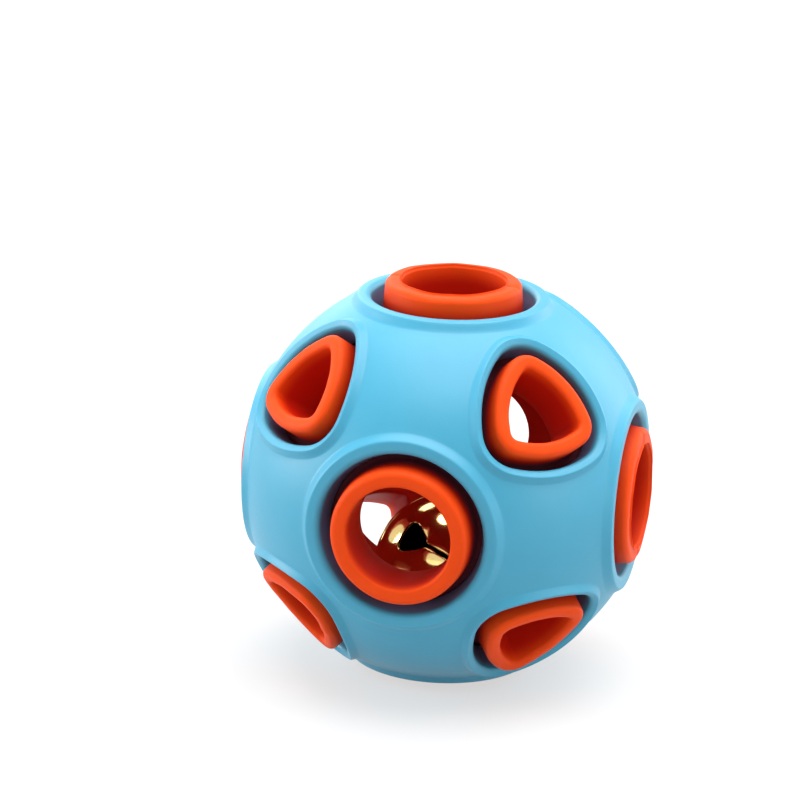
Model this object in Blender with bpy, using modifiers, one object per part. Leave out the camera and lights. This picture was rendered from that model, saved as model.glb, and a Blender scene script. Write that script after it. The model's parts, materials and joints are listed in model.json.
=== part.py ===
"""Two-layer rubber pet ball with a jingle bell trapped inside it.

A blue outer shell with six round and eight rounded-triangle holes holds an orange hollow ball.
The collars of the orange ball stand in those holes with a clear gap all round, so the two layers
turn a little against each other. A slotted brass bell lies loose in the cavity, nested on the inner
end of the bottom bore, with a steel pellet rolling inside it.

Metres, +Z up, origin at the centre of the ball. One round collar lies on each axis, and the flat
mouth of the collar at -Z is the foot that the ball stands on. Both balls are moulded as a front
half and a back half, bonded on the plane y = 0.
"""

import itertools
import math

import bmesh
import bpy
from mathutils import Euler, Matrix, Vector

# Outer shell
SKIN_RADIUS = 0.0198
SHELL_WALL = 0.0026
RIM_RISE = 0.0005
ROUND_RIM_WIDTH = 0.0021
TRIANGLE_RIM_WIDTH = 0.0013
COLLAR_GAP = 0.0008

# Inner ball
BALL_GAP = 0.0003
BALL_WALL = 0.0019
ROUND_COLLAR_WALL = 0.0017
TRIANGLE_COLLAR_WALL = 0.0015
MOUTH_EDGE_ROUND = 0.0005
ROUND_BORE_RADIUS = 0.005
ROUND_MOUTH_SETBACK = 0.0005
BELL_SEAT_WIDTH = 0.0003

# Bore of a triangular collar: three corner arcs joined by three bowed sides
TRIANGLE_CORNER_PLACE = 0.0033
TRIANGLE_CORNER_RADIUS = 0.0008
TRIANGLE_SIDE_RADIUS = 0.0079

# Bond between the halves of each ball
BOND_GAP = 0.0002

# Bell, which lies on its side with its slots towards the front
BELL_RADIUS = 0.0068
BELL_WALL = 0.0005
BELL_SEAT_GAP = 0.00015
BELL_TURN_DEG = (109.9, -33.4, -160.7)
BELL_SEAM_GAP = 0.0002
SPIGOT_HEIGHT = 0.0008
SPIGOT_WALL = 0.0004
SPIGOT_GAP = 0.00015
SLOT_WIDTH = 0.0004
SLOT_END_DEG = 52.0
SLOT_HOLE_CORNER_PLACE = 0.00085
SLOT_HOLE_CORNER_RADIUS = 0.0007
SLOT_HOLE_SIDE_RADIUS = 0.006
LOOP_WIRE_RADIUS = 0.0004
LOOP_EYE_RADIUS = 0.00085
LOOP_LEG_SPACING = 0.001
LOOP_FOOT_LENGTH = 0.0013
LOOP_GAP = 0.0002
PELLET_RADIUS = 0.0018
PELLET_SEAT_GAP = 0.0003

# Facets
SPHERE_SEGMENTS = 32
ROUND_SIDES = 28
CORNER_STEPS = 3
SIDE_STEPS = 4
TURNED_STEPS = 28
ARC_STEPS = 7
PELLET_SEGMENTS = 12

# Sizes that follow from those above
RIM_RADIUS = SKIN_RADIUS + RIM_RISE
SHELL_INSIDE = SKIN_RADIUS - SHELL_WALL
BALL_RADIUS = SHELL_INSIDE - BALL_GAP
CAVITY_RADIUS = BALL_RADIUS - BALL_WALL
ROUND_MOUTH = SKIN_RADIUS - ROUND_MOUTH_SETBACK
TRIANGLE_MOUTH = SKIN_RADIUS
BELL_SEAT = math.sqrt(CAVITY_RADIUS ** 2 - (ROUND_BORE_RADIUS + BELL_SEAT_WIDTH) ** 2)
TRIANGLE_COLLAR_ROOT = (CAVITY_RADIUS + BALL_RADIUS) / 2 - MOUTH_EDGE_ROUND
BELL_RISE = math.sqrt((BELL_RADIUS + BELL_SEAT_GAP) ** 2 - ROUND_BORE_RADIUS ** 2)
BELL_CENTRE = Vector((0.0, 0.0, BELL_RISE - BELL_SEAT))
BELL_INSIDE = BELL_RADIUS - BELL_WALL
SPIGOT_OUTER = BELL_INSIDE - SPIGOT_GAP
SPIGOT_INNER = SPIGOT_OUTER - SPIGOT_WALL
CUT_START = SKIN_RADIUS / 2
CUT_END = SKIN_RADIUS * 1.3

ROUND_AXES = [Vector(sign * unit for unit in row) for row in Matrix.Identity(3) for sign in (1, -1)]
TRIANGLE_AXES = [Vector(signs).normalized() for signs in itertools.product((1, -1), repeat=3)]


def collection(name):
    """A new collection in the scene."""
    made = bpy.data.collections.new(name)
    bpy.context.scene.collection.children.link(made)
    return made


def rubber_or_metal(name, colour, roughness, metallic=0.0):
    """A Principled material of one colour."""
    material = bpy.data.materials.new(name)
    material.use_nodes = True
    shader = material.node_tree.nodes["Principled BSDF"]
    shader.inputs["Base Color"].default_value = (*colour, 1.0)
    shader.inputs["Roughness"].default_value = roughness
    shader.inputs["Metallic"].default_value = metallic
    return material


def add_object(name, data, group, matrix=None, parent=None):
    """Link an object into a collection, placed by a matrix under its parent."""
    made = bpy.data.objects.new(name, data)
    group.objects.link(made)
    made.parent = parent
    made.matrix_local = matrix or Matrix.Identity(4)
    return made


def add_cutter(name, mesh, group, matrix=None, parent=None):
    """A wire object that only shapes other pieces."""
    cutter = add_object(name, mesh, group, matrix, parent)
    cutter.hide_render = True
    cutter.display_type = "WIRE"
    return cutter


def boolean(target, operation, operand):
    """Add a Boolean modifier whose operand is one object or a whole collection."""
    modifier = target.modifiers.new(operation.title(), "BOOLEAN")
    modifier.operation = operation
    modifier.solver = "EXACT"
    if isinstance(operand, bpy.types.Collection):
        modifier.operand_type = "COLLECTION"
        modifier.collection = operand
    else:
        modifier.object = operand


def finish_mesh(name, shape):
    """Turn a bmesh into a smooth mesh with sharp creases."""
    mesh = bpy.data.meshes.new(name)
    shape.to_mesh(mesh)
    shape.free()
    mesh.shade_smooth()
    mesh.set_sharp_from_angle(angle=math.radians(35))
    return mesh


def sphere_mesh(name, radius, segments=SPHERE_SEGMENTS):
    """A sphere about the origin, turned so that its edges miss the ball's planes of symmetry."""
    shape = bmesh.new()
    bmesh.ops.create_uvsphere(shape, u_segments=segments, v_segments=segments // 2, radius=radius)
    third_of_a_segment = Matrix.Rotation(2 * math.pi / segments / 3, 3, "Z")
    bmesh.ops.rotate(shape, matrix=third_of_a_segment, verts=shape.verts)
    return finish_mesh(name, shape)


def box_mesh(name, low, high):
    """A box between two corners."""
    shape = bmesh.new()
    bmesh.ops.create_cube(shape, size=1.0)
    size = [b - a for a, b in zip(low, high)]
    middle = [(a + b) / 2 for a, b in zip(low, high)]
    bmesh.ops.scale(shape, vec=size, verts=shape.verts)
    bmesh.ops.translate(shape, vec=middle, verts=shape.verts)
    return finish_mesh(name, shape)


def arc(centre, radius, start, end, steps):
    """Points along a circular arc, both ends included."""
    angles = [start + (end - start) * k / steps for k in range(steps + 1)]
    return [(centre[0] + radius * math.cos(a), centre[1] + radius * math.sin(a)) for a in angles]


def circle_outline(radius):
    """A closed circle, turned by half a side so that no corner lies on the bond plane."""
    start = math.pi / ROUND_SIDES
    return arc((0.0, 0.0), radius, start, start + 2 * math.pi, ROUND_SIDES)[:-1]


def rounded_triangle(corner_place, corner_radius, side_radius):
    """A triangle with one corner towards +X: corner arcs, joined by tangent bowed sides.

    A side's centre lies on the far corner's line, where its arc runs tangent into both corner arcs.
    """
    reach = side_radius - corner_radius
    side_place = (math.sqrt(4 * reach ** 2 - 3 * corner_place ** 2) - corner_place) / 2
    lean = math.atan2(side_place * math.sin(math.pi / 3), corner_place + side_place / 2)
    points = []
    for k in range(3):
        turn = 2 * math.pi * k / 3
        corner = (corner_place * math.cos(turn), corner_place * math.sin(turn))
        across = turn + 4 * math.pi / 3
        middle = (side_place * math.cos(across), side_place * math.sin(across))
        points += arc(corner, corner_radius, turn - lean, turn + lean, CORNER_STEPS)
        side = arc(middle, side_radius, turn + lean, turn + 2 * math.pi / 3 - lean, SIDE_STEPS)
        points += side[1:-1]
    return points


def triangle_outline(offset):
    """The triangular bore's outline, moved outwards by an offset."""
    return rounded_triangle(
        TRIANGLE_CORNER_PLACE, TRIANGLE_CORNER_RADIUS + offset, TRIANGLE_SIDE_RADIUS + offset
    )


def prism_mesh(name, outline, low, high, edge_round=0.0):
    """A flat outline extruded along +Z from low to high, its end edges rounded."""
    curve = bpy.data.curves.new(name, "CURVE")
    curve.dimensions = "2D"
    curve.fill_mode = "BOTH"
    curve.extrude = (high - low) / 2 - edge_round
    curve.bevel_depth = edge_round
    curve.bevel_resolution = 0
    curve.offset = -edge_round
    spline = curve.splines.new("POLY")
    spline.points.add(len(outline) - 1)
    for point, (x, y) in zip(spline.points, outline):
        point.co = (x, y, 0.0, 1.0)
    spline.use_cyclic_u = True
    shape = mesh_of_curve(curve)
    bmesh.ops.translate(shape, vec=(0.0, 0.0, (low + high) / 2), verts=shape.verts)
    return finish_mesh(name, shape)


def mesh_of_curve(curve):
    """The welded mesh that a curve makes, as a bmesh. The curve is removed."""
    holder = add_object(curve.name, curve, bpy.context.scene.collection)
    bpy.context.view_layer.update()
    evaluated = holder.evaluated_get(bpy.context.evaluated_depsgraph_get())
    raw = bpy.data.meshes.new_from_object(evaluated)
    shape = bmesh.new()
    shape.from_mesh(raw)
    bmesh.ops.remove_doubles(shape, verts=shape.verts, dist=1e-7)
    bpy.data.objects.remove(holder)
    bpy.data.curves.remove(curve)
    bpy.data.meshes.remove(raw)
    return shape


def facing(axis):
    """A turn that takes +Z to an axis and +X towards the nearest axis of the ball off that line."""
    up = Vector((0.0, 0.0, 1.0 if axis.z >= 0 else -1.0))
    if abs(axis.dot(up)) > 0.99:
        up = Vector((1.0, 0.0, 0.0))
    across = (up - axis * axis.dot(up)).normalized()
    return Matrix((across, axis.cross(across), axis)).transposed().to_4x4()


def hole_cutters(name, round_mesh, triangle_mesh):
    """One copy of a round or triangular prism on each of the fourteen hole axes."""
    group = collection(name)
    for mesh, axes in ((round_mesh, ROUND_AXES), (triangle_mesh, TRIANGLE_AXES)):
        for number, axis in enumerate(axes):
            add_cutter(f"{mesh.name}_{number}", mesh, group, facing(axis))
    return group


def turned_mesh(name, profile, closed):
    """Edges of a profile in the XZ plane, ready for a Screw modifier."""
    shape = bmesh.new()
    verts = [shape.verts.new((x, 0.0, z)) for x, z in profile]
    for start, end in zip(verts, verts[1:]):
        shape.edges.new((start, end))
    if closed:
        shape.edges.new((verts[-1], verts[0]))
    return finish_mesh(name, shape)


def turn_profile(target):
    """Turn a profile a full circle about Z."""
    screw = target.modifiers.new("Turn", "SCREW")
    screw.axis = "Z"
    screw.steps = TURNED_STEPS
    screw.render_steps = TURNED_STEPS
    screw.use_merge_vertices = True
    screw.merge_threshold = 1e-6
    screw.use_smooth_shade = True


def half_spaces(group):
    """Boxes that keep the front or the back of a ball, short of the bond plane."""
    far = 2 * SKIN_RADIUS
    near = BOND_GAP / 2
    front = box_mesh("front_half", (-far, -far, -far), (far, -near, far))
    back = box_mesh("back_half", (-far, near, -far), (far, far, far))
    return {side.name: add_cutter(side.name, side, group) for side in (front, back)}


def build_outer_shell(parts, cutters, halves, rubber):
    """Blue shell: a sphere with a raised rim round each hole, in two halves."""
    round_hole = ROUND_BORE_RADIUS + ROUND_COLLAR_WALL + COLLAR_GAP
    triangle_hole = TRIANGLE_COLLAR_WALL + COLLAR_GAP
    rims = hole_cutters(
        "rims",
        prism_mesh("round_rim", circle_outline(round_hole + ROUND_RIM_WIDTH), CUT_START, CUT_END),
        prism_mesh("triangle_rim", triangle_outline(triangle_hole + TRIANGLE_RIM_WIDTH),
                   CUT_START, CUT_END),
    )
    crest = add_cutter("rim_crest", sphere_mesh("rim_crest", RIM_RADIUS), cutters)
    for rim in rims.objects:
        boolean(rim, "INTERSECT", crest)
    holes = hole_cutters(
        "shell_holes",
        prism_mesh("round_hole", circle_outline(round_hole), CUT_START, CUT_END),
        prism_mesh("triangle_hole", triangle_outline(triangle_hole), CUT_START, CUT_END),
    )
    inside = add_cutter("shell_inside", sphere_mesh("shell_inside", SHELL_INSIDE), cutters)
    skin = sphere_mesh("outer_shell", SKIN_RADIUS)
    skin.materials.append(rubber)
    for side in ("front", "back"):
        shell = add_object(f"outer_shell_{side}", skin, parts)
        boolean(shell, "UNION", rims)
        boolean(shell, "DIFFERENCE", inside)
        boolean(shell, "DIFFERENCE", holes)
        boolean(shell, "INTERSECT", halves[f"{side}_half"])


def build_inner_ball(parts, cutters, halves, rubber):
    """Orange ball: a hollow sphere with a flat-mouthed collar on each axis, in two halves."""
    collars = hole_cutters(
        "collars",
        prism_mesh("round_collar", circle_outline(ROUND_BORE_RADIUS + ROUND_COLLAR_WALL),
                   BELL_SEAT, ROUND_MOUTH, MOUTH_EDGE_ROUND),
        prism_mesh("triangle_collar", triangle_outline(TRIANGLE_COLLAR_WALL),
                   TRIANGLE_COLLAR_ROOT, TRIANGLE_MOUTH, MOUTH_EDGE_ROUND),
    )
    bores = hole_cutters(
        "bores",
        prism_mesh("round_bore", circle_outline(ROUND_BORE_RADIUS), CUT_START, CUT_END),
        prism_mesh("triangle_bore", triangle_outline(0.0), CUT_START, CUT_END),
    )
    cavity = add_cutter("cavity", sphere_mesh("cavity", CAVITY_RADIUS), cutters)
    body = sphere_mesh("inner_ball", BALL_RADIUS)
    body.materials.append(rubber)
    for side in ("front", "back"):
        ball = add_object(f"inner_ball_{side}", body, parts)
        boolean(ball, "DIFFERENCE", cavity)
        boolean(ball, "UNION", collars)
        boolean(ball, "DIFFERENCE", bores)
        boolean(ball, "INTERSECT", halves[f"{side}_half"])


def sphere_profile(radius, low, high, steps):
    """Points of a turned sphere's profile between two angles up from its middle, in degrees."""
    return arc((0.0, 0.0), radius, math.radians(low), math.radians(high), steps)


def build_bell_crown(parts, place, brass):
    """Plain half of the bell, with a hole at its pole for the loop's legs."""
    hole = LOOP_LEG_SPACING / 2 + LOOP_WIRE_RADIUS + LOOP_GAP
    seam = BELL_SEAM_GAP / 2
    outer_top = math.degrees(math.acos(hole / BELL_RADIUS))
    outer_low = math.degrees(math.asin(seam / BELL_RADIUS))
    inner_top = math.degrees(math.acos(hole / BELL_INSIDE))
    inner_low = math.degrees(math.asin(seam / BELL_INSIDE))
    profile = sphere_profile(BELL_RADIUS, outer_top, outer_low, ARC_STEPS)
    profile += sphere_profile(BELL_INSIDE, inner_low, inner_top, ARC_STEPS)
    mesh = turned_mesh("bell_crown", profile, closed=True)
    mesh.materials.append(brass)
    turn_profile(add_object("bell_crown", mesh, parts, parent=place))


def slot_cutters(place):
    """Two crossed slots over the bell's pole and a rounded-triangle hole at each of their ends."""
    group = collection("bell_slots")
    tilt = math.radians(SLOT_END_DEG)
    length = BELL_RADIUS * math.sin(tilt)
    inner_edge = math.sqrt(BELL_INSIDE ** 2 - length ** 2)
    low = (-length, -SLOT_WIDTH / 2, -BELL_RADIUS - BELL_WALL)
    high = (length, SLOT_WIDTH / 2, BELL_WALL - inner_edge)
    slot = box_mesh("slot", low, high)
    outline = rounded_triangle(
        SLOT_HOLE_CORNER_PLACE, SLOT_HOLE_CORNER_RADIUS, SLOT_HOLE_SIDE_RADIUS
    )
    end_hole = prism_mesh("slot_hole", outline, BELL_INSIDE - BELL_WALL, BELL_RADIUS + BELL_WALL)
    for quarter in range(4):
        turn = Matrix.Rotation(math.radians(90 * quarter), 4, "Z")
        out = Vector((math.sin(tilt), 0.0, -math.cos(tilt)))
        to_pole = Vector((-math.cos(tilt), 0.0, -math.sin(tilt)))
        aim = Matrix((to_pole, out.cross(to_pole), out)).transposed().to_4x4()
        add_cutter(f"slot_hole_{quarter}", end_hole, group, turn @ aim, place)
        if quarter < 2:
            add_cutter(f"slot_{quarter}", slot, group, turn, place)
    return group


def build_bell_petals(parts, place, brass):
    """Slotted half of the bell, with a spigot that stands up inside the crown."""
    seam = BELL_SEAM_GAP / 2
    root = SPIGOT_HEIGHT + SPIGOT_WALL
    outer_low = -math.degrees(math.asin(seam / BELL_RADIUS))
    inner_low = -math.degrees(math.asin(root / BELL_INSIDE))
    profile = [(0.0, -BELL_INSIDE)]
    profile += sphere_profile(BELL_INSIDE, -90.0, inner_low, ARC_STEPS)[1:]
    profile += [(SPIGOT_INNER, -SPIGOT_HEIGHT), (SPIGOT_INNER, SPIGOT_HEIGHT)]
    profile += [(SPIGOT_OUTER, SPIGOT_HEIGHT), (SPIGOT_OUTER, -seam)]
    profile += sphere_profile(BELL_RADIUS, outer_low, -90.0, ARC_STEPS)[:-1]
    profile += [(0.0, -BELL_RADIUS)]
    mesh = turned_mesh("bell_petals", profile, closed=False)
    mesh.materials.append(brass)
    petals = add_object("bell_petals", mesh, parts, parent=place)
    turn_profile(petals)
    boolean(petals, "DIFFERENCE", slot_cutters(place))


def build_bell_loop(parts, place, brass):
    """Wire eye on the crown: two legs through its hole, with feet turned out under it."""
    leg = LOOP_LEG_SPACING / 2
    bend = LOOP_WIRE_RADIUS + LOOP_GAP / 2
    foot_end = leg + LOOP_FOOT_LENGTH
    foot_level = math.sqrt(BELL_INSIDE ** 2 - foot_end ** 2) - LOOP_GAP - LOOP_WIRE_RADIUS
    eye_centre = BELL_RADIUS + LOOP_EYE_RADIUS
    neck = math.asin(leg / LOOP_EYE_RADIUS)
    side = [(foot_end, foot_level)]
    side += arc((leg + bend, foot_level + bend), bend, -math.pi / 2, -math.pi, CORNER_STEPS)
    side += arc((0.0, eye_centre), LOOP_EYE_RADIUS, neck - math.pi / 2, math.pi / 2, ARC_STEPS)
    points = side + [(-x, z) for x, z in reversed(side[:-1])]
    curve = bpy.data.curves.new("bell_loop", "CURVE")
    curve.dimensions = "3D"
    curve.bevel_depth = LOOP_WIRE_RADIUS
    curve.bevel_resolution = 2
    curve.use_fill_caps = True
    spline = curve.splines.new("POLY")
    spline.points.add(len(points) - 1)
    for point, (x, z) in zip(spline.points, points):
        point.co = (x, 0.0, z, 1.0)
    mesh = finish_mesh("bell_loop", mesh_of_curve(curve))
    mesh.materials.append(brass)
    add_object("bell_loop", mesh, parts, parent=place)


def build_bell_pellet(parts, place, steel):
    """Steel pellet at the lowest point inside the bell."""
    mesh = sphere_mesh("bell_pellet", PELLET_RADIUS, PELLET_SEGMENTS)
    mesh.materials.append(steel)
    drop = SPIGOT_INNER - PELLET_SEAT_GAP - PELLET_RADIUS
    down = place.matrix_local.to_3x3().inverted() @ Vector((0.0, 0.0, -drop))
    add_object("bell_pellet", mesh, parts, Matrix.Translation(down), place)


def main():
    for old in list(bpy.data.objects):
        bpy.data.objects.remove(old)
    parts = collection("pet_bell_ball")
    cutters = collection("cutters")
    blue_rubber = rubber_or_metal("blue_rubber", (0.105, 0.455, 0.686), 0.45)
    orange_rubber = rubber_or_metal("orange_rubber", (0.807, 0.088, 0.016), 0.45)
    brass = rubber_or_metal("brass", (0.730, 0.480, 0.140), 0.15, 1.0)
    steel = rubber_or_metal("steel", (0.560, 0.560, 0.570), 0.25, 1.0)
    halves = half_spaces(cutters)
    build_outer_shell(parts, cutters, halves, blue_rubber)
    build_inner_ball(parts, cutters, halves, orange_rubber)
    turn = Euler([math.radians(angle) for angle in BELL_TURN_DEG], "XYZ").to_matrix().to_4x4()
    bell_place = add_object("bell_place", None, parts, Matrix.Translation(BELL_CENTRE) @ turn)
    build_bell_crown(parts, bell_place, brass)
    build_bell_petals(parts, bell_place, brass)
    build_bell_loop(parts, bell_place, brass)
    build_bell_pellet(parts, bell_place, steel)


main()
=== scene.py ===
"""Looks of the two-layer rubber pet ball with a jingle bell trapped inside it.

The blue shell and the orange ball are each one surface, laid out in fourteen cells, one for each hole.
In every cell a profile is carried round the hole: over the rim or collar, down the bore and out again
over the inside. The brass bell, its loop and the steel pellet are turned and swept surfaces.
Metres, +Z up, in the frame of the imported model.
"""

import itertools
import json
import math

import bmesh
import bpy
import numpy as np
from mathutils import Euler, Matrix, Vector


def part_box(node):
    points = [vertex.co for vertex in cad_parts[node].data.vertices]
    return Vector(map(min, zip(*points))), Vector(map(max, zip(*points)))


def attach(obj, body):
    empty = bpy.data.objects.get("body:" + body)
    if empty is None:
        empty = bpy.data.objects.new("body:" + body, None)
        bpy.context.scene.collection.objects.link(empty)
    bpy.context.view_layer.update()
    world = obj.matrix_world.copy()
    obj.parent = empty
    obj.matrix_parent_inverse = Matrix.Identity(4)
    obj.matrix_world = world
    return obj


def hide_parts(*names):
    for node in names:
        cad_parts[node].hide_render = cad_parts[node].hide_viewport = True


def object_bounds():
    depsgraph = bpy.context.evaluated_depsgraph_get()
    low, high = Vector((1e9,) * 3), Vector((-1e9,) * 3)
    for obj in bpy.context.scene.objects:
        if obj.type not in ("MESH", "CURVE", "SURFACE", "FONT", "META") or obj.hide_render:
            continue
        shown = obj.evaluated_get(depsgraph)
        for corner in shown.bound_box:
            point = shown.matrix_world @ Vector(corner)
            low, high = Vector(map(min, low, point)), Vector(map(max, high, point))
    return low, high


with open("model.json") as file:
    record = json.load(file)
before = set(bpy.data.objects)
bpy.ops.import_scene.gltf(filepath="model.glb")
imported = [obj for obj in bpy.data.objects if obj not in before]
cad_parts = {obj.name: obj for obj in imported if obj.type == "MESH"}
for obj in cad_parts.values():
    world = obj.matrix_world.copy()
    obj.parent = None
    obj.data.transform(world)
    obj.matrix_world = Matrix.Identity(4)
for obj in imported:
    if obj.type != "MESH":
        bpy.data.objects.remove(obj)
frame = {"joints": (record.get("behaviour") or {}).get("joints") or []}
cad_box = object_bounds()

# Blue shell. A rim's numbers are the hole's offset from the bore, the places of the rim's foot, crest
# and lip outside that, and the lip's radius
SKIN_RADIUS = 0.0198
SHELL_INSIDE = 0.0172
RIM_RISE = 0.0005
RIM_SOFTNESS = 0.00006
ROUND_RIM = (0.0023, 0.0025, 0.00183, 0.0005, 0.0006)
TRIANGLE_RIM = (0.0022, 0.00165, 0.0011, 0.00028, 0.00035)
SHELL_INNER_ROUND = 0.0003

# Orange ball. A collar's numbers are its wall at the root and at the mouth
BALL_RADIUS = 0.0169
CAVITY_RADIUS = 0.015
ROUND_COLLAR = (0.00178, 0.00155)
TRIANGLE_COLLAR = (0.0015, 0.00146)
COLLAR_FILLET = 0.0006
ROUND_BORE_RADIUS = 0.005
ROUND_BORE_DRAFT = 0.00015
ROUND_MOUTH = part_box("inner_ball_front")[1].z
ROUND_MOUTH_SHIFT = (-0.0002, 0.0, 0.0003, -0.0002, 0.0, 0.0)
ROUND_EDGE = 0.0006
ROUND_LIP = 0.0003
BELL_SEAT_WIDTH = 0.0003
TRIANGLE_BORE_DRAFT = 0.00035
TRIANGLE_MOUTH = SKIN_RADIUS
TRIANGLE_EDGE = 0.0006
TRIANGLE_LIP = 0.00052
BORE_INNER_ROUND = 0.00025
FLASH_PLACE = 0.00016
FLASH_HEIGHT = 0.00022
FLASH_WIDTH = 0.00004
NICK_DEPTH = 0.00016
NICK_WIDTH = 0.00025
MOUTH_WAVE = 0.000025
MOUTH_SEED = 7

# Bores: distance of the corner arcs from the axis, radius of the corners, radius of the sides
ROUND_BORE = (0.0, ROUND_BORE_RADIUS, ROUND_BORE_RADIUS)
TRIANGLE_BORE = (0.0033, 0.0008, 0.0079)

# Distances from the ball's centre between which the rubber goes over to its deeper tone, painted shade
# down the bores and gaps, and the gaps' outward faces to their painted shade
ORANGE_DEPTH = (0.0183, 0.0202)
BLUE_DEPTH = (0.0188, 0.0197)
SHADE_DEPTH = (0.0176, 0.0188)

# Cells of the two balls: where a round cell's edge comes closest to its axis, and columns to an arc
NECK_ANGLE = math.radians(30.8)
ARC_COLUMNS = 32
FACING_STEPS = 1440
MERGE_DISTANCE = 1e-7
CREASE_ANGLE = math.radians(50)

# Bell
BELL_CENTRE = next(joint["pos_m"] for joint in frame["joints"] if joint["name"] == "pellet_roll")
BELL_RADIUS = 0.0068
BELL_INSIDE = 0.0063
BELL_TURN_DEG = (109.9, -33.4, -160.7)
BELL_SEAM_GAP = 0.0002
BELL_EDGE_ROUND = 0.00012
SPIGOT_HEIGHT = 0.0008
SPIGOT_OUTER = 0.00615
SPIGOT_INNER = 0.00575
SLOT_WIDTH = 0.0004
SLOT_END_DEG = 52.0
SLOT_HOLE = (0.00095, 0.00075, 0.006)
LOOP_WIRE_RADIUS = 0.0004
LOOP_EYE_RADIUS = 0.00085
LOOP_LEG_SPACING = 0.001
LOOP_FOOT_LENGTH = 0.0013
LOOP_GAP = 0.0002
CROWN_HOLE = LOOP_LEG_SPACING / 2 + LOOP_WIRE_RADIUS + LOOP_GAP
PELLET_RADIUS = 0.0018

# Finishes: sizes across, spreads of roughness, and heights over the bell's inside where its dark colour
# fades
CLOUD_SIZE = 0.004
GRAIN_SIZE = 0.0002
GRAIN_DEPTH = 0.00003
GRAIN_STRENGTH = 0.2
SHEEN_SPREAD = 0.06
TARNISH_SIZE = 0.002
SCRATCH_SPACING = 0.0001
SCRATCH_STRETCH = (1.0, 1.0, 0.1)
SCRATCH_TURN = (0.6, 0.3, 0.9)
SCRATCH_RANGE = (0.35, 0.75)
SCRATCH_ROUGHNESS = 0.12
DARK_INSIDE_FADE = (0.00015, 0.00042)
DARK_INSIDE_ROUGHNESS = 0.6

# Camera: the ball's centre in the 800 x 800 picture, the scale there and the view's direction
PICTURE_SIDE = 800
CENTRE_PIXEL = (447.4, 474.2)
PIXELS_PER_METRE = 10309.0
CAMERA_DISTANCE = 0.355
CAMERA_AZIMUTH_DEG = 13.3
CAMERA_ELEVATION_DEG = 19.3
CAMERA_ROLL_DEG = 1.93
SENSOR_WIDTH = 36.0

# Light: place, side and power of each lamp, the surround's strength from low to high, and the floor's
# tone, its tone where it is seen, and its glow there
LAMPS = {
    "top_box": ((0.04, 0.02, 0.5), 0.6, 5.0),
    "back_left_box": ((-0.45, 0.55, 0.3), 0.6, 2.2),
    "back_right_box": ((0.5, 0.55, 0.25), 0.6, 2.9),
    "left_box": ((-0.55, -0.1, 0.08), 0.35, 3.0),
    "right_box": ((0.55, -0.15, 0.02), 0.35, 1.4),
    "front_box": ((-0.1, -0.6, 0.0), 0.5, 0.5),
}
SURROUND_HEIGHTS = (-0.1, 1.0)
SURROUND_LIGHT = (0.25, 0.45)
CARD_TONE = (0.5, 0.5, 0.5, 1.0)
CARD_SEEN_TONE = (0.3, 0.3, 0.3, 1.0)
CARD_GLOW = 0.6
FLOOR_HALF = 3.0

ROUND_AXES = np.vstack([np.eye(3), -np.eye(3)])
TRIANGLE_AXES = np.array(list(itertools.product((1.0, -1.0), repeat=3))) / math.sqrt(3)
WHITE = (1.0, 1.0, 1.0, 1.0)


def unit(vectors):
    """Vectors scaled to length one."""
    return vectors / np.linalg.norm(vectors, axis=-1, keepdims=True)


def quarter_turn(steps):
    """Angles from nought to a right angle, both included."""
    return np.linspace(0.0, math.pi / 2, steps + 1)


def smooth_step(share):
    """An S-curve from nought to one, level at both ends."""
    share = np.clip(share, 0.0, 1.0)
    return share * share * (3.0 - 2.0 * share)


def round_off(distance, radius):
    """Drop of a rounded edge at a distance in from it: a quarter circle, nought past its radius."""
    share = np.clip(1.0 - distance / radius, 0.0, 1.0)
    return radius * (1.0 - np.sqrt(1.0 - share ** 2))


def bump(distance, width):
    """A bell curve, one at a distance of nought."""
    return np.exp(-((distance / width) ** 2))


def grid_faces(rows, columns, closed):
    """Quads of a grid of points, in row order. A closed grid joins its last column to its first."""
    row, column = np.meshgrid(
        np.arange(rows - 1), np.arange(columns if closed else columns - 1), indexing="ij"
    )
    after = (column + 1) % columns
    corners = (row * columns + column, row * columns + after)
    corners += ((row + 1) * columns + after, (row + 1) * columns + column)
    return np.stack(corners, axis=-1).reshape(-1, 4)


def grid_patch(points, closed):
    """A grid of points, rows by columns, with its quads."""
    return points, grid_faces(*points.shape[:2], closed)


def joined(patches):
    """One list of points and one of quads from several patches."""
    points = np.concatenate([p.reshape(-1, 3) for p, _ in patches])
    starts = np.cumsum([0] + [p.size // 3 for p, _ in patches[:-1]])
    faces = np.concatenate([f + start for (_, f), start in zip(patches, starts)])
    return points, faces


def make_piece(name, patches, material, body, slot, *nodes):
    """A smooth closed mesh at the origin that rides on a body and stands for CAD nodes."""
    points, faces = joined(patches)
    mesh = bpy.data.meshes.new(name)
    mesh.from_pydata(points.tolist(), [], faces.tolist())
    shape = bmesh.new()
    shape.from_mesh(mesh)
    bmesh.ops.remove_doubles(shape, verts=shape.verts, dist=MERGE_DISTANCE)
    shape.to_mesh(mesh)
    shape.free()
    mesh.shade_smooth()
    mesh.set_sharp_from_angle(angle=CREASE_ANGLE)
    mesh.materials.append(material)
    piece = bpy.data.objects.new(name, mesh)
    bpy.context.scene.collection.objects.link(piece)
    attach(piece, body)
    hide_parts(*nodes)


def hole_frame(axis):
    """Rows across, along and axis of a hole: across points to the nearest ball axis off that line."""
    up = np.array([0.0, 0.0, 1.0 if axis[2] >= 0 else -1.0])
    if abs(axis @ up) > 0.99:
        up = np.array([1.0, 0.0, 0.0])
    across = unit(up - axis * (axis @ up))
    return np.array([across, np.cross(axis, across), axis])


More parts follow.
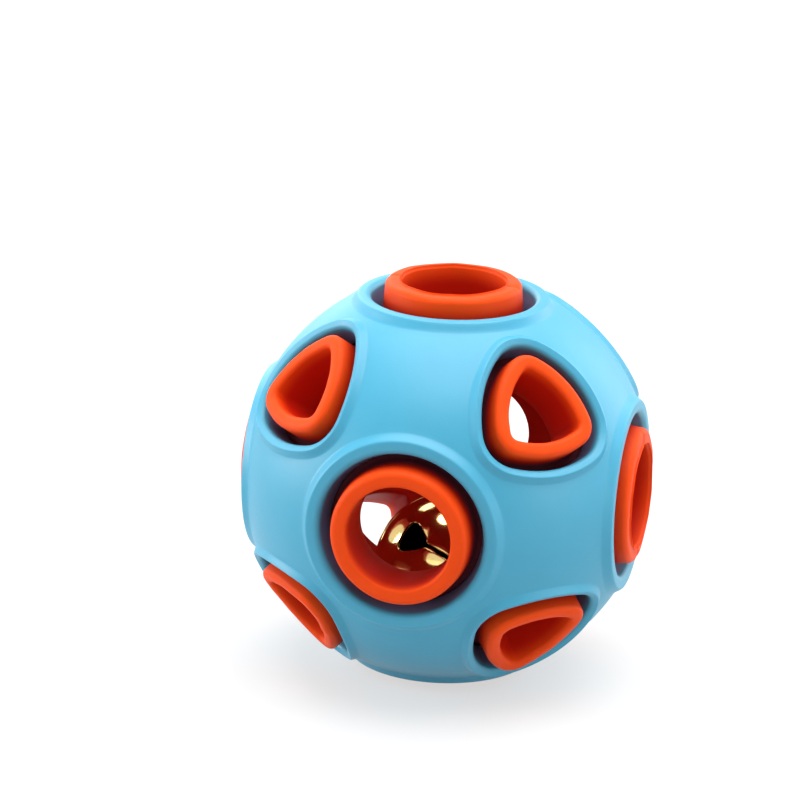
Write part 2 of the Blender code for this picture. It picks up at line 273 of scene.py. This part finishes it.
def bore_arcs(bore, facing):
    """Centre and radius of the arc of a bore's outline that faces each direction.

    Three corner arcs are joined by three bowed sides that run tangent into them, and a side's centre
    lies on the far corner's line. A round bore is the same outline with every arc on one circle.
    """
    corner_place, corner_radius, side_radius = bore
    reach = side_radius - corner_radius
    side_place = (math.sqrt(4 * reach ** 2 - 3 * corner_place ** 2) - corner_place) / 2
    lean = math.atan2(side_place * math.sin(math.pi / 3), corner_place + side_place / 2)
    third = 2 * math.pi / 3
    corner = np.round(facing / third) * third
    side = np.floor(facing / third) * third + 2 * third
    at_corner = np.abs(facing - corner) <= lean
    place = np.where(at_corner, corner_place, side_place)
    turn = np.where(at_corner, corner, side)
    centre = place[:, None] * np.stack([np.cos(turn), np.sin(turn)], axis=-1)
    return centre, np.where(at_corner, corner_radius, side_radius)


def bore_outline(bore, facing, offset):
    """The bore's outline moved out by offsets: each arc's centre plus its radius along the facing."""
    centre, radius = bore_arcs(bore, facing)
    normal = np.stack([np.cos(facing), np.sin(facing)], axis=-1)
    return centre + (radius + offset)[..., None] * normal


def facing_at(bore, offset, azimuth):
    """The direction that the moved outline faces where it crosses each azimuth, off a fine table."""
    facing = np.linspace(0.0, 2 * math.pi, FACING_STEPS + 1)
    x, y = bore_outline(bore, facing, offset).T
    return np.interp(azimuth % (2 * math.pi), np.unwrap(np.arctan2(y, x)), facing)


def round_cell_edge():
    """Directions round a round hole's cell, in the hole's frame.

    The angle off the axis is 45 degrees towards each neighbouring round hole and draws in to the neck
    angle towards each triangle, as the sine of twice the azimuth.
    """
    azimuth = 2 * math.pi * np.arange(4 * ARC_COLUMNS) / (4 * ARC_COLUMNS)
    polar = math.pi / 4 - (math.pi / 4 - NECK_ANGLE) * np.abs(np.sin(2 * azimuth))
    return np.stack(
        [np.sin(polar) * np.cos(azimuth), np.sin(polar) * np.sin(azimuth), np.cos(polar)], axis=-1
    )


def triangle_cell_edge():
    """Directions round a triangular hole's cell: the same arcs, seen from the triangle's axis."""
    sway = np.linspace(math.pi / 4, -math.pi / 4, ARC_COLUMNS, endpoint=False)
    polar = math.pi / 4 - (math.pi / 4 - NECK_ANGLE) * np.cos(2 * sway)
    cosine, sine = math.sqrt(1 / 3), math.sqrt(2 / 3)
    x = np.cos(polar) * sine - np.sin(polar) * np.cos(sway) * cosine
    y = -np.sin(polar) * np.sin(sway)
    z = np.cos(polar) * cosine + np.sin(polar) * np.cos(sway) * sine
    turn = 2 * math.pi / 3 * np.arange(3)[:, None]
    turned_x = x * np.cos(turn) - y * np.sin(turn)
    turned_y = x * np.sin(turn) + y * np.cos(turn)
    return np.stack([turned_x, turned_y, z + 0 * turn], axis=-1).reshape(-1, 3)


def carried(bore, facing, offset, sphere, height):
    """A profile carried round a bore, as rows of points.

    Each row lies at an offset from the bore, on a sphere about the ball's centre, raised by a height.
    Where the sphere is nought it lies at the height.
    """
    offset, sphere, height = np.broadcast_arrays(offset, sphere, height)
    flat = bore_outline(bore, facing, offset[:, None])
    level = np.sqrt(np.maximum(sphere[:, None] ** 2 - (flat ** 2).sum(axis=-1), 0.0))
    return np.concatenate([flat, (level + height[:, None])[..., None]], axis=-1)


def between(start, end, rows):
    """Rows that run straight from one row to another, both left out."""
    share = np.linspace(0.0, 1.0, rows + 2)[1:-1, None, None]
    return start + (end - start) * share


def spread(foot, edge, rows):
    """Rows over a sphere from a foot line out to the cell's edge, the foot left out."""
    share = np.linspace(0.0, 1.0, rows + 1)[1:, None, None]
    sphere = np.linalg.norm(foot, axis=-1).mean()
    return sphere * unit(unit(foot) * (1 - share) + edge * share)


def cell_patch(axis, edge, walls, outer_rows, inner_rows):
    """One hole's cell of a ball: outer skin, the walls carried round the hole, inner skin."""
    outer = spread(walls[0], edge, outer_rows)[::-1]
    inner = spread(walls[-1], edge, inner_rows)
    return grid_patch(np.concatenate([outer, walls, inner]) @ hole_frame(axis), closed=True)


def rim_profile(hole, foot, crest, lip, lip_round):
    """Rim of the blue shell, as offsets from the bore and spheres about the ball's centre.

    The rim's height is the lower of two slopes, blended over a small height: a hollow climb from the
    foot on the skin to the crest, and a straight fall from the crest to the lip. The lip is rounded, and
    the hole's wall draws in from it to a rounded inner edge.
    """
    turn = quarter_turn(8)
    place = np.concatenate([
        np.linspace(foot, crest, 13), np.linspace(crest, lip + lip_round, 9)[1:],
        lip + lip_round * (1 - np.sin(turn[1:])),
    ])
    share = (foot - place) / (foot - crest)
    climb = RIM_RISE * np.where(share < 1, share ** 2 * (2 - share), share)
    fall = RIM_RISE * (place - lip) / (crest - lip)
    rise = (climb + fall - np.sqrt((climb - fall) ** 2 + RIM_SOFTNESS ** 2)) / 2
    rise += (np.sqrt(fall[0] ** 2 + RIM_SOFTNESS ** 2) - fall[0]) / 2
    sphere = SKIN_RADIUS + rise - round_off(place - lip, lip_round)
    down = np.linspace(1.0, 0.0, 6)[1:-1]
    inner_top = SHELL_INSIDE + SHELL_INNER_ROUND
    turn = quarter_turn(4)
    place = np.concatenate([place, lip * down, SHELL_INNER_ROUND * (1 - np.cos(turn))])
    sphere = np.concatenate([
        sphere, inner_top + (sphere[-1] - inner_top) * down,
        SHELL_INSIDE + SHELL_INNER_ROUND * (1 - np.sin(turn)),
    ])
    return hole + place, sphere


def build_outer_shell(rubber):
    """Blue shell with a bead-like rim round each hole."""
    patches = []
    holes = (
        (ROUND_AXES, round_cell_edge(), ROUND_BORE, ROUND_RIM),
        (TRIANGLE_AXES, triangle_cell_edge(), TRIANGLE_BORE, TRIANGLE_RIM),
    )
    for axes, edge, bore, rim in holes:
        offset, sphere = rim_profile(*rim)
        facing = facing_at(bore, offset[0], np.arctan2(edge[:, 1], edge[:, 0]))
        walls = carried(bore, facing, offset, sphere, 0.0)
        patches += [cell_patch(axis, edge, walls, outer_rows=7, inner_rows=5) for axis in axes]
    make_piece("blue_shell", patches, rubber, "outer_shell", "blue_rubber",
               "outer_shell_front", "outer_shell_back")


def mouth_profile(top_wall, mouth, edge_round, lip, flash):
    """Mouth of a collar from its outer side to its bore: two rounded edges and a ridge of flash."""
    turn = quarter_turn(8)
    offset = np.concatenate([
        top_wall - edge_round * (1 - np.cos(turn)),
        FLASH_PLACE + FLASH_WIDTH * np.linspace(-2.0, 2.0, 6),
        lip * (1 - np.sin(turn)),
    ])
    offset = np.sort(offset)[::-1]
    height = mouth - round_off(top_wall - offset, edge_round) - round_off(offset, lip)
    return offset, height + flash * bump(offset - FLASH_PLACE, FLASH_WIDTH)


def mouth_faults(walls, mouth, draws):
    """Low waves round a collar's mouth, sums of cosines, that fade out down the collar."""
    azimuth = np.arctan2(walls[..., 1], walls[..., 0])
    lobes = np.arange(2, 7)[:, None, None]
    phase = draws.uniform(0.0, 2 * math.pi, lobes.shape)
    size = draws.uniform(0.3, 1.0, lobes.shape)
    wave = (size * np.cos(lobes * azimuth + phase)).sum(axis=0)
    return MOUTH_WAVE * wave * smooth_step(1 - (mouth - walls[..., 2]) / (mouth - BALL_RADIUS))


def parting_nick(walls, mouth):
    """How far the mouth dips where the mould's halves met, on the plane y = 0."""
    near_mouth = smooth_step(1 - (mouth - walls[..., 2]) / (2 * ROUND_EDGE))
    return NICK_DEPTH * bump(walls[..., 1], NICK_WIDTH) * near_mouth


def collar_walls(bore, facing, collar, mouth, edge_round, lip, flash, inner_end):
    """Rows of one orange collar: fillet at its root, tapered side, mouth, tapered bore, inner end."""
    root_wall, top_wall = collar
    turn = quarter_turn(5)
    fillet_offset = root_wall + COLLAR_FILLET * (1 - np.sin(turn))
    root = carried(bore, facing, fillet_offset, BALL_RADIUS, COLLAR_FILLET * (1 - np.cos(turn)))
    offset, height = mouth_profile(top_wall, mouth, edge_round, lip, flash)
    top = carried(bore, facing, offset, 0.0, height)
    end = carried(bore, facing, *inner_end)
    side, bore_wall = between(root[-1], top[0], rows=3), between(top[-1], end[0], rows=5)
    return np.concatenate([root, side, top, bore_wall, end])


def round_inner_end():
    """Inner end of a round bore: a rounded edge and the narrow land that the bell rests on."""
    turn = quarter_turn(3)
    level = math.sqrt(CAVITY_RADIUS ** 2 - (ROUND_BORE_RADIUS + BELL_SEAT_WIDTH) ** 2)
    offset = np.append(BORE_INNER_ROUND * (1 - np.cos(turn)) - ROUND_BORE_DRAFT, BELL_SEAT_WIDTH)
    height = np.append(level + BORE_INNER_ROUND * (1 - np.sin(turn)), level)
    return offset, 0.0, height


def triangle_inner_end():
    """Inner end of a triangular bore: a rounded edge that runs out into the cavity."""
    turn = quarter_turn(3)
    offset = BORE_INNER_ROUND * (1 - np.cos(turn)) - TRIANGLE_BORE_DRAFT
    return offset, CAVITY_RADIUS, BORE_INNER_ROUND * (1 - np.sin(turn))


def build_inner_ball(rubber):
    """Orange ball with its fourteen collars. The mouth that it stands on has its flash worn off."""
    draws = np.random.default_rng(MOUTH_SEED)
    patches = []
    holes = (
        (ROUND_AXES, round_cell_edge(), ROUND_BORE, ROUND_COLLAR,
         ROUND_MOUTH + np.array(ROUND_MOUTH_SHIFT), ROUND_EDGE, ROUND_LIP, round_inner_end()),
        (TRIANGLE_AXES, triangle_cell_edge(), TRIANGLE_BORE, TRIANGLE_COLLAR,
         [TRIANGLE_MOUTH] * len(TRIANGLE_AXES), TRIANGLE_EDGE, TRIANGLE_LIP, triangle_inner_end()),
    )
    for axes, edge, bore, collar, mouths, edge_round, lip, inner_end in holes:
        facing = facing_at(bore, collar[0] + COLLAR_FILLET, np.arctan2(edge[:, 1], edge[:, 0]))
        for axis, mouth in zip(axes, mouths):
            on_parting_line = axis[1] == 0
            flash = FLASH_HEIGHT if on_parting_line and axis[2] >= 0 else 0.0
            walls = collar_walls(bore, facing, collar, mouth, edge_round, lip, flash, inner_end)
            sink = np.abs(mouth_faults(walls, mouth, draws))
            if on_parting_line:
                sink = sink + parting_nick(walls, mouth)
            walls[..., 2] -= sink
            patches.append(cell_patch(axis, edge, walls, outer_rows=4, inner_rows=6))
    make_piece("orange_ball", patches, rubber, "inner_ball", "orange_rubber",
               "inner_ball_front", "inner_ball_back")


def in_bell(points):
    """Points of the bell's own frame, crown up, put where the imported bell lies."""
    turn = Euler([math.radians(angle) for angle in BELL_TURN_DEG]).to_matrix()
    return points @ np.array(turn).T + np.array(BELL_CENTRE)


def turned(radius, height, columns):
    """A profile of radii and heights, turned a full circle about the bell's own axis."""
    turn = 2 * math.pi * np.arange(columns) / columns
    x, y = radius[:, None] * np.cos(turn), radius[:, None] * np.sin(turn)
    return np.stack([x, y, height[:, None] + 0 * turn], axis=-1)


def build_bell_crown(brass):
    """Plain half of the bell: rounded brim, outer sphere up to the loop's hole, inner sphere down."""
    seam = BELL_SEAM_GAP / 2
    brim = quarter_turn(4)
    brim_top = math.asin((seam + BELL_EDGE_ROUND) / BELL_RADIUS)
    rise = np.linspace(brim_top, math.acos(CROWN_HOLE / BELL_RADIUS), 26)
    back = np.linspace(math.acos(CROWN_HOLE / BELL_INSIDE), math.asin(seam / BELL_INSIDE), 20)
    radius = np.concatenate([
        BELL_RADIUS - BELL_EDGE_ROUND * (1 - np.sin(brim)),
        BELL_RADIUS * np.cos(rise[1:]),
        BELL_INSIDE * np.cos(back),
    ])
    height = np.concatenate([
        seam + BELL_EDGE_ROUND * (1 - np.cos(brim)),
        BELL_RADIUS * np.sin(rise[1:]),
        BELL_INSIDE * np.sin(back),
    ])
    points = turned(np.append(radius, radius[0]), np.append(height, height[0]), 96)
    patch = grid_patch(in_bell(points), closed=True)
    make_piece("bell_cap", [patch], brass, "bell", "brass", "bell_crown")


def slot_openings():
    """Angle off the slotted pole and half width of the opening, from the tips to a hole's far side.

    The slot keeps one width. The hole is a rounded triangle, carried out to the bell along the line
    through its middle, and the corner that the slot runs into is left out.
    """
    half_slot = SLOT_WIDTH / 2
    tilt = math.radians(SLOT_END_DEG)
    x, y = bore_outline(SLOT_HOLE, np.linspace(0.0, math.pi, 49), np.zeros(49)).T
    y[-1] = 0.0
    kept = (y > half_slot) | (x < 0)
    x, y = x[kept], y[kept]
    rise = np.sqrt(BELL_RADIUS ** 2 - x ** 2 - y ** 2)
    off_axis = np.hypot(rise * math.sin(tilt) - x * math.cos(tilt), y)
    hole = np.arctan2(off_axis, rise * math.cos(tilt) + x * math.sin(tilt))
    tip = math.asin(half_slot * math.sqrt(2) / BELL_RADIUS)
    slot = np.linspace(tip, hole[0], 18)[:-1]
    return np.append(slot, hole), np.append(np.full_like(slot, half_slot), y)


def petal_sheet(radius, height, half_width, rounded):
    """One petal: latitude rows of a quarter turn, held back from its edges by the opening's half width.

    The first columns from each edge lie close together, and the rounded rows drop in there.
    """
    start = np.arcsin(np.clip(half_width / radius, 0.0, math.sqrt(0.5)))
    width = radius * (math.pi / 2 - 2 * start)
    edge = np.minimum(BELL_EDGE_ROUND, width / 3)
    near = edge[:, None] * (1 - np.cos(quarter_turn(4)))
    middle = edge[:, None] + (width - 2 * edge)[:, None] * np.linspace(0.0, 1.0, 26)[1:-1]
    distance = np.concatenate([near, middle, width[:, None] - near[:, ::-1]], axis=1)
    turn = start[:, None] + distance / radius[:, None]
    drop = round_off(np.minimum(distance, width[:, None] - distance), BELL_EDGE_ROUND) * rounded[:, None]
    scale = 1 - drop / BELL_RADIUS
    x, y = radius[:, None] * np.cos(turn), radius[:, None] * np.sin(turn)
    return np.stack([x * scale, y * scale, height[:, None] * scale], axis=-1)


def build_bell_petals(brass):
    """Slotted half of the bell: four petals outside and inside, their slot walls, and the spigot."""
    polar, opening = slot_openings()
    cut_rows = len(polar)
    brim = np.linspace(polar[-1], math.acos(BELL_SEAM_GAP / 2 / BELL_RADIUS), 10)[1:]
    root_height = SPIGOT_HEIGHT + SPIGOT_OUTER - SPIGOT_INNER
    inner_brim = np.linspace(math.acos(root_height / BELL_INSIDE), polar[-1], 8)[:-1]
    outer, inner = np.append(polar, brim), np.append(inner_brim, polar[::-1])
    spigot_radius = [SPIGOT_OUTER, SPIGOT_OUTER, SPIGOT_INNER, SPIGOT_INNER]
    spigot_height = [-BELL_SEAM_GAP / 2, SPIGOT_HEIGHT, SPIGOT_HEIGHT, -SPIGOT_HEIGHT]
    radius = np.concatenate([BELL_RADIUS * np.sin(outer), spigot_radius, BELL_INSIDE * np.sin(inner)])
    height = np.concatenate([-BELL_RADIUS * np.cos(outer), spigot_height, -BELL_INSIDE * np.cos(inner)])
    uncut = np.zeros(len(radius) - 2 * cut_rows)
    half_width = np.concatenate([opening, uncut, opening[::-1] * BELL_INSIDE / BELL_RADIUS])
    rounded = np.concatenate([opening > 0, uncut, 0 * opening])
    sheet = petal_sheet(radius, height, half_width, rounded)
    first, last = sheet[:cut_rows], sheet[::-1][:cut_rows]
    patches = []
    for quarter in range(4):
        turn = np.array(Matrix.Rotation(quarter * math.pi / 2, 3, "Z")).T
        near_wall = np.stack([last[:, 0], first[:, 0]], axis=1)
        far_wall = np.stack([first[:, -1], last[:, -1]], axis=1)
        parts = (sheet, near_wall, far_wall)
        patches += [grid_patch(in_bell(part @ turn), closed=False) for part in parts]
    make_piece("bell_slotted_cup", patches, brass, "bell", "brass", "bell_petals")


def arc(centre, radius, start, end, steps):
    """Points along a circular arc, both ends included."""
    turn = np.linspace(start, end, steps + 1)
    return np.stack([centre[0] + radius * np.cos(turn), centre[1] + radius * np.sin(turn)], axis=-1)


def build_bell_loop(brass):
    """Wire eye on the crown, swept along its path: foot, bend, leg and eye, then the same in mirror."""
    leg = LOOP_LEG_SPACING / 2
    bend = LOOP_WIRE_RADIUS + LOOP_GAP / 2
    foot_end = leg + LOOP_FOOT_LENGTH
    foot_level = math.sqrt(BELL_INSIDE ** 2 - foot_end ** 2) - LOOP_GAP - LOOP_WIRE_RADIUS
    neck = math.asin(leg / LOOP_EYE_RADIUS)
    side = np.concatenate([
        [(foot_end, foot_level)],
        arc((leg + bend, foot_level + bend), bend, -math.pi / 2, -math.pi, 8),
        arc((0.0, BELL_RADIUS + LOOP_EYE_RADIUS), LOOP_EYE_RADIUS, neck - math.pi / 2, math.pi / 2, 24),
    ])
    path = np.concatenate([side, side[-2::-1] * (-1.0, 1.0)])
    along = unit(np.gradient(path, axis=0))
    dome = quarter_turn(5)[:-1]
    reach = LOOP_WIRE_RADIUS * np.cos(dome)[:, None]
    centre = np.concatenate([path[0] - along[0] * reach, path, (path[-1] + along[-1] * reach)[::-1]])
    along = np.concatenate([along[:1].repeat(len(dome), 0), along, along[-1:].repeat(len(dome), 0)])
    thickness = LOOP_WIRE_RADIUS * np.concatenate([np.sin(dome), np.ones(len(path)), np.sin(dome)[::-1]])
    turn = 2 * math.pi * np.arange(20) / 20
    side_step = thickness[:, None] * np.cos(turn)
    x, z = centre[:, :1] - along[:, 1:] * side_step, centre[:, 1:] + along[:, :1] * side_step
    points = np.stack([x, -thickness[:, None] * np.sin(turn), z], axis=-1)
    patch = grid_patch(in_bell(points), closed=True)
    make_piece("bell_eye", [patch], brass, "bell", "brass", "bell_loop")


def build_bell_pellet(steel):
    """Steel ball inside the bell: circles of latitude from the lower pole to the upper one."""
    low, high = (np.array(corner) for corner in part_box("bell_pellet"))
    climb = np.linspace(-math.pi / 2, math.pi / 2, 25)
    points = turned(PELLET_RADIUS * np.cos(climb), PELLET_RADIUS * np.sin(climb), 48)
    patch = grid_patch(points + (low + high) / 2, closed=True)
    make_piece("steel_pellet", [patch], steel, "pellet", "steel", "bell_pellet")


def add_node(tree, kind, inputs=None, **settings):
    """Add a node, set its properties, and feed its inputs with values or with other nodes' outputs."""
    made = tree.nodes.new(kind)
    for name, value in settings.items():
        setattr(made, name, value)
    for name, value in (inputs or {}).items():
        if isinstance(value, bpy.types.NodeSocket):
            tree.links.new(value, made.inputs[name])
        else:
            made.inputs[name].default_value = value
    return made


def linear(hex_colour):
    """Linear RGBA of an sRGB hex colour."""
    shares = [int(hex_colour[k:k + 2], 16) / 255 for k in (1, 3, 5)]
    return (*[s / 12.92 if s <= 0.04045 else ((s + 0.055) / 1.055) ** 2.4 for s in shares], 1.0)


def new_material(name, **constants):
    """A material with constants on its Principled shader: its tree, shader and coordinate outputs."""
    material = bpy.data.materials.new(name)
    material.use_nodes = True
    tree = material.node_tree
    shader = tree.nodes["Principled BSDF"]
    for socket, value in constants.items():
        shader.inputs[socket.replace("_", " ")].default_value = value
    return material, tree, shader, add_node(tree, "ShaderNodeTexCoord").outputs


def moulded_rubber(name, body, pale, painted_deep_shade, depth_range, roughness, specular, painted_gap_shade=None):
    """Satin rubber from a fine-blasted mould: an even body, faint clouds of tone and a soft sheen.

    Clouds are about 4 mm across. The mould's grain is drawn 0.2 mm wide, coarser than the real one, so
    that it shows. Down the bores and gaps the body goes over to a deeper tone, which is painted shade
    for the dark there. With a painted gap shade, the faces that look outwards are painted dark at the
    foot of
    the gaps: painted shade that deepens the shadow there.
    """
    material, tree, shader, coordinates = new_material(name, IOR=1.5, Specular_IOR_Level=specular)
    place = coordinates["Object"]
    cloud = add_node(tree, "ShaderNodeTexNoise", {
        "Vector": place, "Scale": 1 / CLOUD_SIZE, "Detail": 3.0})
    tone = add_node(tree, "ShaderNodeMix", {0: cloud.outputs["Fac"], 6: linear(body), 7: linear(pale)},
                    data_type="RGBA")
    reach = add_node(tree, "ShaderNodeVectorMath", {0: place}, operation="LENGTH")
    # Painted shade: towards the ball's centre, down the bores and gaps, the colour goes over to the deep
    # tone.
    depth = add_node(tree, "ShaderNodeMapRange", {
        "Value": reach.outputs["Value"], "From Min": depth_range[0], "From Max": depth_range[1],
        "To Min": 1.0, "To Max": 0.0}, interpolation_type="SMOOTHSTEP")
    toned = add_node(tree, "ShaderNodeMix", {0: depth.outputs[0], 6: tone.outputs[2], 7: linear(painted_deep_shade)},
                     data_type="RGBA")
    if painted_gap_shade:
        # Painted shade: outward faces near the foot of the gaps are painted with the gap shade colour.
        outward = add_node(tree, "ShaderNodeVectorMath", {0: place, 1: coordinates["Normal"]},
                           operation="DOT_PRODUCT")
        outside = add_node(tree, "ShaderNodeMath", {0: outward.outputs["Value"], 1: 0.0},
                           operation="GREATER_THAN")
        shade = add_node(tree, "ShaderNodeMapRange", {
            "Value": reach.outputs["Value"], "From Min": SHADE_DEPTH[0], "From Max": SHADE_DEPTH[1],
            "To Min": outside.outputs[0], "To Max": 0.0}, interpolation_type="SMOOTHSTEP")
        toned = add_node(tree, "ShaderNodeMix", {
            0: shade.outputs[0], 6: toned.outputs[2], 7: linear(painted_gap_shade)}, data_type="RGBA")
    grain = add_node(tree, "ShaderNodeTexNoise", {
        "Vector": place, "Scale": 1 / GRAIN_SIZE, "Detail": 2.0})
    sheen = add_node(tree, "ShaderNodeMapRange", {
        "Value": grain.outputs["Fac"], "To Min": roughness - SHEEN_SPREAD,
        "To Max": roughness + SHEEN_SPREAD})
    height = add_node(tree, "ShaderNodeBump", {
        "Height": grain.outputs["Fac"], "Strength": GRAIN_STRENGTH, "Distance": GRAIN_DEPTH})
    tree.links.new(toned.outputs[2], shader.inputs["Base Color"])
    tree.links.new(sheen.outputs[0], shader.inputs["Roughness"])
    tree.links.new(height.outputs["Normal"], shader.inputs["Normal"])
    return material


def polished_metal(name, body, worn, roughness, inside=None):
    """Tumbled and polished metal: a bright mirror with fine scratches and a little tarnish.

    Tarnish clouds are about 2 mm across. The scratches are 0.05 mm wide and ten times as long. With an
    inside colour, the faces near the bell's inner sphere are dark and dull, so its holes look black.
    """
    material, tree, shader, coordinates = new_material(name, Metallic=1.0)
    place = coordinates["Object"]
    cloud = add_node(tree, "ShaderNodeTexNoise", {
        "Vector": place, "Scale": 1 / TARNISH_SIZE, "Detail": 4.0})
    tone = add_node(tree, "ShaderNodeMix", {0: cloud.outputs["Fac"], 6: linear(body), 7: linear(worn)},
                    data_type="RGBA")
    stretch = add_node(tree, "ShaderNodeMapping", {
        "Vector": place, "Rotation": SCRATCH_TURN, "Scale": SCRATCH_STRETCH})
    scratch = add_node(tree, "ShaderNodeTexNoise", {
        "Vector": stretch.outputs[0], "Scale": 1 / SCRATCH_SPACING, "Detail": 2.0})
    polish = add_node(tree, "ShaderNodeMapRange", {
        "Value": scratch.outputs["Fac"], "From Min": SCRATCH_RANGE[0], "From Max": SCRATCH_RANGE[1],
        "To Min": roughness, "To Max": roughness + SCRATCH_ROUGHNESS})
    colour, finish = tone.outputs[2], polish.outputs[0]
    if inside:
        # Near the inner sphere the colour goes over to the dark inside colour and the finish to dull.
        reach = add_node(tree, "ShaderNodeVectorMath", {0: place, 1: BELL_CENTRE}, operation="DISTANCE")
        dark_inside = add_node(tree, "ShaderNodeMapRange", {
            "Value": reach.outputs["Value"], "From Min": BELL_INSIDE + DARK_INSIDE_FADE[0],
            "From Max": BELL_INSIDE + DARK_INSIDE_FADE[1], "To Min": 1.0, "To Max": 0.0})
        colour = add_node(tree, "ShaderNodeMix", {0: dark_inside.outputs[0], 6: colour, 7: linear(inside)},
                          data_type="RGBA").outputs[2]
        finish = add_node(tree, "ShaderNodeMix", {
            0: dark_inside.outputs[0], 2: finish, 3: DARK_INSIDE_ROUGHNESS}).outputs[0]
    tree.links.new(colour, shader.inputs["Base Color"])
    tree.links.new(finish, shader.inputs["Roughness"])
    return material


def build_camera():
    """Camera at the photograph's angle, turned off the ball so that its centre lands on its pixel."""
    azimuth, elevation = math.radians(CAMERA_AZIMUTH_DEG), math.radians(CAMERA_ELEVATION_DEG)
    back = Vector((
        math.sin(azimuth) * math.cos(elevation), -math.cos(azimuth) * math.cos(elevation),
        math.sin(elevation),
    ))
    level = (-back).to_track_quat("-Z", "Y").to_matrix()
    focal = PIXELS_PER_METRE * CAMERA_DISTANCE
    middle = PICTURE_SIDE / 2
    aim = Vector((CENTRE_PIXEL[0] - middle, middle - CENTRE_PIXEL[1], -focal))
    off = aim.rotation_difference(Vector((0.0, 0.0, -1.0))).to_matrix()
    roll = Matrix.Rotation(math.radians(CAMERA_ROLL_DEG), 3, "Z")
    data = bpy.data.cameras.new("camera")
    data.sensor_width = SENSOR_WIDTH
    data.lens = SENSOR_WIDTH * focal / PICTURE_SIDE
    data.clip_start = CAMERA_DISTANCE / 100
    camera = bpy.data.objects.new("camera", data)
    camera.matrix_world = Matrix.Translation(back * CAMERA_DISTANCE) @ (level @ roll @ off).to_4x4()
    bpy.context.scene.collection.objects.link(camera)
    bpy.context.scene.camera = camera


def soft_box(name, place, size, power):
    """A square area lamp aimed at the ball."""
    data = bpy.data.lights.new(name, "AREA")
    data.size = size
    data.energy = power
    lamp = bpy.data.objects.new(name, data)
    lamp.location = place
    lamp.rotation_euler = (-Vector(place)).to_track_quat("-Z", "Y").to_euler()
    bpy.context.scene.collection.objects.link(lamp)


def background_rays(tree):
    """One for the rays that see the background: from the camera, off gloss and through glass."""
    path = add_node(tree, "ShaderNodeLightPath").outputs
    seen = add_node(tree, "ShaderNodeMath", {0: path["Is Camera Ray"], 1: path["Is Glossy Ray"]},
                    operation="MAXIMUM")
    return add_node(tree, "ShaderNodeMath", {0: seen.outputs[0], 1: path["Is Transmission Ray"]},
                    operation="MAXIMUM").outputs[0]


def build_surround():
    """White surround whose light on the ball grows from the horizon to the zenith."""
    world = bpy.data.worlds.new("surround")
    world.use_nodes = True
    bpy.context.scene.world = world
    tree = world.node_tree
    tree.nodes.clear()
    direction = add_node(tree, "ShaderNodeTexCoord").outputs["Generated"]
    height = add_node(tree, "ShaderNodeSeparateXYZ", {0: direction}).outputs["Z"]
    strength = add_node(tree, "ShaderNodeMapRange", {
        "Value": height, "From Min": SURROUND_HEIGHTS[0], "From Max": SURROUND_HEIGHTS[1],
        "To Min": SURROUND_LIGHT[0], "To Max": SURROUND_LIGHT[1]})
    light = add_node(tree, "ShaderNodeBackground", {"Color": WHITE, "Strength": strength.outputs[0]})
    white = add_node(tree, "ShaderNodeBackground", {"Color": WHITE, "Strength": 1.0})
    both = add_node(tree, "ShaderNodeMixShader", {
        0: background_rays(tree), 1: light.outputs[0], 2: white.outputs[0]})
    add_node(tree, "ShaderNodeOutputWorld", {"Surface": both.outputs[0]})


def build_floor():
    """White card under the ball that keeps its shadow and throws little light back up."""
    material = bpy.data.materials.new("white_card")
    material.use_nodes = True
    tree = material.node_tree
    tree.nodes.clear()
    card = add_node(tree, "ShaderNodeBsdfDiffuse", {"Color": CARD_TONE})
    faint = add_node(tree, "ShaderNodeBsdfDiffuse", {"Color": CARD_SEEN_TONE})
    glow = add_node(tree, "ShaderNodeEmission", {"Strength": CARD_GLOW})
    shown = add_node(tree, "ShaderNodeAddShader", {0: glow.outputs[0], 1: faint.outputs[0]})
    both = add_node(tree, "ShaderNodeMixShader", {
        0: background_rays(tree), 1: card.outputs[0], 2: shown.outputs[0]})
    add_node(tree, "ShaderNodeOutputMaterial", {"Surface": both.outputs[0]})
    half, level = FLOOR_HALF, cad_box[0].z
    mesh = bpy.data.meshes.new("floor")
    corners = [(-half, -half, level), (half, -half, level), (half, half, level), (-half, half, level)]
    mesh.from_pydata(corners, [], [(0, 1, 2, 3)])
    mesh.materials.append(material)
    floor = bpy.data.objects.new("floor", mesh)
    bpy.context.scene.collection.objects.link(floor)


def main():
    bpy.context.scene.view_settings.view_transform = "Standard"
    build_camera()
    build_surround()
    build_floor()
    for name, lamp in LAMPS.items():
        soft_box(name, *lamp)
    blue = moulded_rubber(
        "blue_moulded_rubber", body="#3A96B5", pale="#3F9CBB", painted_deep_shade="#5C6080", depth_range=BLUE_DEPTH,
        roughness=0.42, specular=0.45,
    )
    orange = moulded_rubber(
        "orange_moulded_rubber", body="#E0440C", pale="#E44910", painted_deep_shade="#BC1A06",
        depth_range=ORANGE_DEPTH, roughness=0.5, specular=0.1, painted_gap_shade="#6C303A",
    )
    brass = polished_metal(
        "polished_brass", body="#EFD697", worn="#E2BE6E", roughness=0.06, inside="#0E0804"
    )
    steel = polished_metal("ground_steel", body="#C4C6C8", worn="#B4B6B8", roughness=0.15)
    build_outer_shell(blue)
    build_inner_ball(orange)
    build_bell_crown(brass)
    build_bell_petals(brass)
    build_bell_loop(brass)
    build_bell_pellet(steel)


main()
